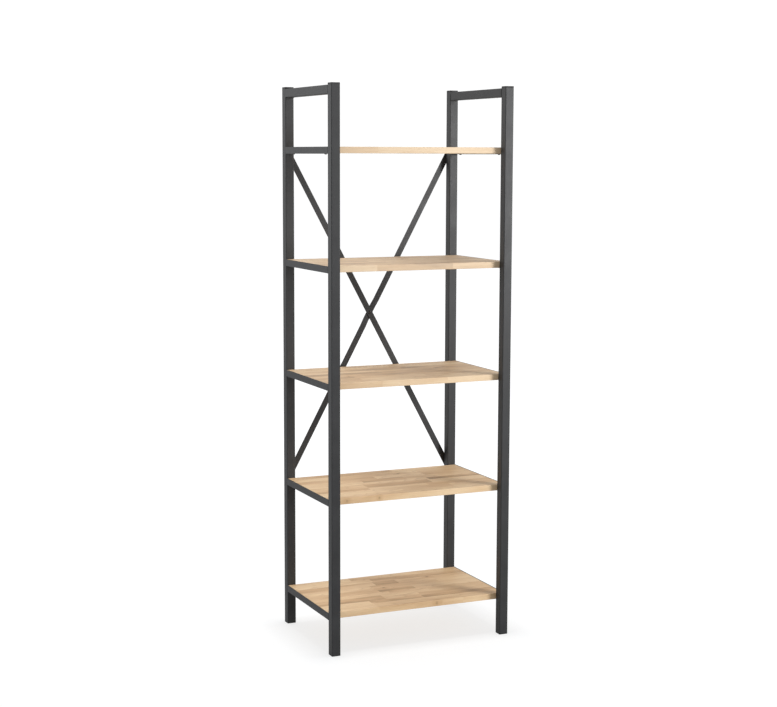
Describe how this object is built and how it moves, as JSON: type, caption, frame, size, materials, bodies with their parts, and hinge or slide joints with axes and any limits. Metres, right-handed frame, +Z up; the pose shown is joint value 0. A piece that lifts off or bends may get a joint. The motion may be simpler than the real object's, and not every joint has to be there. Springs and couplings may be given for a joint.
{
  "type": "bookcase",
  "caption": "Open bookcase: black square-tube side frames, pale oak shelf boards in angle rails, and a crossed pair of flat bars behind; two middle boards lift out.",
  "frame": {"origin": "on the floor, in the middle of the width and of the whole depth (brace hardware included)", "axes": "+X to the right seen from the front, +Y to the back, where the crossed bars are, +Z up"},
  "size_m": [0.63, 0.441, 1.8],
  "materials": {
    "black_powder_coat": "fine-textured black powder coat on welded steel, low sheen",
    "oak_board": "pale natural oak, glued staves, clear matt lacquer",
    "black_plastic": "moulded black polyethylene, matt",
    "blackened_steel": "black-oxide steel screws, nut and washers",
    "zinc_plated_steel": "bright zinc-plated rivet nuts"
  },
  "bodies": {
    "frame": {"upright_front_left": "black_powder_coat", "upright_rear_left": "black_powder_coat", "upright_front_right": "black_powder_coat", "upright_rear_right": "black_powder_coat", "top_rail_left": "black_powder_coat", "top_rail_right": "black_powder_coat", "shelf_rail_top_left": "black_powder_coat", "shelf_rail_top_right": "black_powder_coat", "shelf_rail_upper_left": "black_powder_coat", "shelf_rail_upper_right": "black_powder_coat", "shelf_rail_middle_left": "black_powder_coat", "shelf_rail_middle_right": "black_powder_coat", "shelf_rail_lower_left": "black_powder_coat", "shelf_rail_lower_right": "black_powder_coat", "shelf_rail_bottom_left": "black_powder_coat", "shelf_rail_bottom_right": "black_powder_coat", "shelf_board_top": "oak_board", "shelf_board_lower": "oak_board", "shelf_board_bottom": "oak_board", "shelf_screws_top": "blackened_steel", "shelf_screws_lower": "blackened_steel", "shelf_screws_bottom": "blackened_steel", "top_cap_front_left": "black_plastic", "foot_front_left": "black_plastic", "top_cap_rear_left": "black_plastic", "foot_rear_left": "black_plastic", "top_cap_front_right": "black_plastic", "foot_front_right": "black_plastic", "top_cap_rear_right": "black_plastic", "foot_rear_right": "black_plastic", "brace_bar_falling": "black_powder_coat", "brace_bar_rising": "black_powder_coat", "brace_rivet_nuts": "zinc_plated_steel", "brace_washers": "blackened_steel", "brace_end_screws": "blackened_steel", "brace_centre_screw": "blackened_steel", "brace_centre_nut": "blackened_steel"},
    "upper_shelf": {"shelf_board_upper": "oak_board"},
    "middle_shelf": {"shelf_board_middle": "oak_board"}
  },
  "joints": [
    {"name": "upper_shelf_lift", "type": "slide", "parent": "frame", "child": "upper_shelf", "axis": [0, 0, 1], "range_m": [0, 0.34]},
    {"name": "middle_shelf_lift", "type": "slide", "parent": "frame", "child": "middle_shelf", "axis": [0, 0, 1], "range_m": [0, 0.34]}
  ]
}
